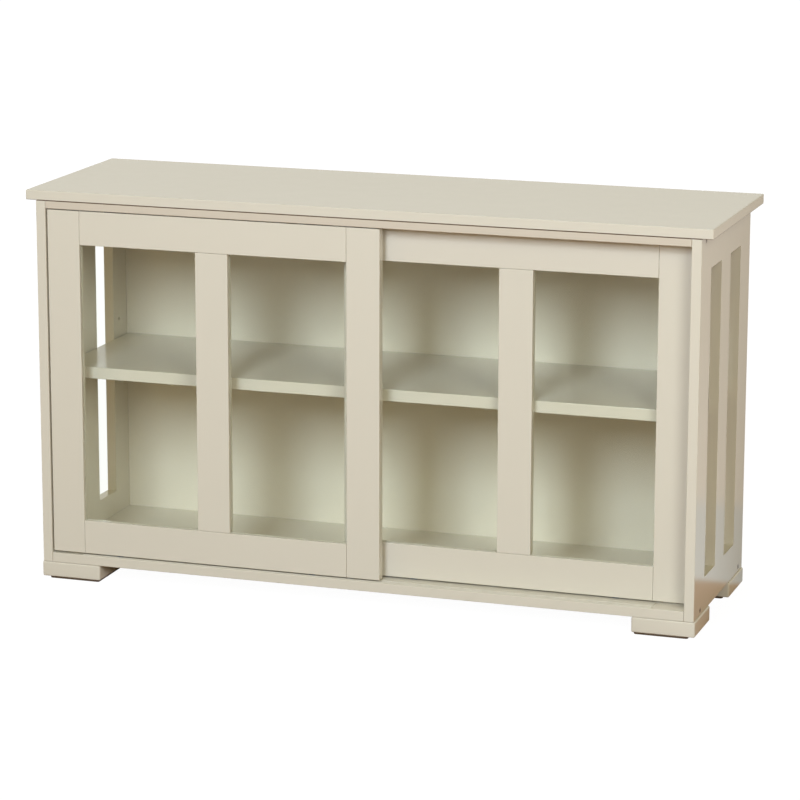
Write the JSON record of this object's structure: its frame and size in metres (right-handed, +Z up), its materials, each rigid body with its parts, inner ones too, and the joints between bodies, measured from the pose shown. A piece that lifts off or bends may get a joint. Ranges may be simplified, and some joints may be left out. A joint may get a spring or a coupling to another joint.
{
  "type": "stackable storage cabinet",
  "caption": "Low painted cabinet with a flat stacking top, slotted side panels, an adjustable shelf, block feet and framed glass doors that slide on rollers.",
  "frame": {"origin": "middle of the bounding box at its base, on the floor under the cabinet", "axes": "+X along the cabinet's width, to the right seen from the front; +Y towards the back; +Z up. The doors face -Y."},
  "size_m": [1.067, 0.33, 0.609],
  "materials": {
    "cream_paint": "fibreboard in a smooth satin antique-white paint",
    "back_paint": "thin fibreboard, painted on its inner face",
    "clear_glass": "clear flat glass with a slight green tint",
    "white_plastic": "satin extruded plastic",
    "blue_grey_nylon": "moulded nylon",
    "grey_plastic": "moulded plastic",
    "black_plastic": "moulded plastic",
    "zinc_steel": "dark zinc-plated steel",
    "dark_pad": "dense dark foam pad"
  },
  "bodies": {
    "cabinet": {"top_panel": "cream_paint", "side_panel_left": "cream_paint", "side_panel_right": "cream_paint", "bottom_panel": "cream_paint", "back_panel": "back_paint", "top_rail_front": "cream_paint", "top_rail_rear": "cream_paint", "shelf": "cream_paint", "shelf_pin_front_left": "zinc_steel", "shelf_pin_front_right": "zinc_steel", "shelf_pin_rear_left": "zinc_steel", "shelf_pin_rear_right": "zinc_steel", "foot_front_left": "cream_paint", "foot_front_right": "cream_paint", "foot_rear_left": "cream_paint", "foot_rear_right": "cream_paint", "foot_pad_front_left": "dark_pad", "foot_pad_front_right": "dark_pad", "foot_pad_rear_left": "dark_pad", "foot_pad_rear_right": "dark_pad", "door_track": "white_plastic", "side_screw_left_top_front": "zinc_steel", "side_screw_left_top_rear": "zinc_steel", "side_screw_left_bottom_front": "zinc_steel", "side_screw_left_bottom_rear": "zinc_steel", "side_screw_right_top_front": "zinc_steel", "side_screw_right_top_rear": "zinc_steel", "side_screw_right_bottom_front": "zinc_steel", "side_screw_right_bottom_rear": "zinc_steel"},
    "front_door": {"front_door_stile_left": "cream_paint", "front_door_stile_right": "cream_paint", "front_door_rail_top": "cream_paint", "front_door_rail_bottom": "cream_paint", "front_door_muntin": "cream_paint", "front_door_glass_left": "clear_glass", "front_door_glass_right": "clear_glass", "front_door_housing_left": "grey_plastic", "front_door_housing_right": "grey_plastic", "front_door_axle_left": "zinc_steel", "front_door_axle_right": "zinc_steel", "front_door_guide_left": "black_plastic", "front_door_guide_right": "black_plastic"},
    "rear_door": {"rear_door_stile_left": "cream_paint", "rear_door_stile_right": "cream_paint", "rear_door_rail_top": "cream_paint", "rear_door_rail_bottom": "cream_paint", "rear_door_muntin": "cream_paint", "rear_door_glass_left": "clear_glass", "rear_door_glass_right": "clear_glass", "rear_door_housing_left": "grey_plastic", "rear_door_housing_right": "grey_plastic", "rear_door_axle_left": "zinc_steel", "rear_door_axle_right": "zinc_steel", "rear_door_guide_left": "black_plastic", "rear_door_guide_right": "black_plastic"},
    "front_left_roller": {"front_door_roller_left": "blue_grey_nylon"},
    "front_right_roller": {"front_door_roller_right": "blue_grey_nylon"},
    "rear_left_roller": {"rear_door_roller_left": "blue_grey_nylon"},
    "rear_right_roller": {"rear_door_roller_right": "blue_grey_nylon"}
  },
  "joints": [
    {"name": "front_door_slide", "type": "slide", "parent": "cabinet", "child": "front_door", "axis": [1, 0, 0], "range_m": [0, 0.467]},
    {"name": "rear_door_slide", "type": "slide", "parent": "cabinet", "child": "rear_door", "axis": [1, 0, 0], "range_m": [-0.467, 0]},
    {"name": "front_left_roller_spin", "type": "hinge", "parent": "front_door", "child": "front_left_roller", "pos_m": [-0.3905, -0.156, 0.0543], "axis": [0, 1, 0], "continuous": true},
    {"name": "front_right_roller_spin", "type": "hinge", "parent": "front_door", "child": "front_right_roller", "pos_m": [-0.0765, -0.156, 0.0543], "axis": [0, 1, 0], "continuous": true},
    {"name": "rear_left_roller_spin", "type": "hinge", "parent": "rear_door", "child": "rear_left_roller", "pos_m": [0.0765, -0.128, 0.0543], "axis": [0, 1, 0], "continuous": true},
    {"name": "rear_right_roller_spin", "type": "hinge", "parent": "rear_door", "child": "rear_right_roller", "pos_m": [0.3905, -0.128, 0.0543], "axis": [0, 1, 0], "continuous": true}
  ],
  "couplings": [
    {"joint": "front_left_roller_spin", "follows": "front_door_slide", "rad_per_m": 80},
    {"joint": "front_right_roller_spin", "follows": "front_door_slide", "rad_per_m": 80},
    {"joint": "rear_left_roller_spin", "follows": "rear_door_slide", "rad_per_m": 80},
    {"joint": "rear_right_roller_spin", "follows": "rear_door_slide", "rad_per_m": 80}
  ]
}
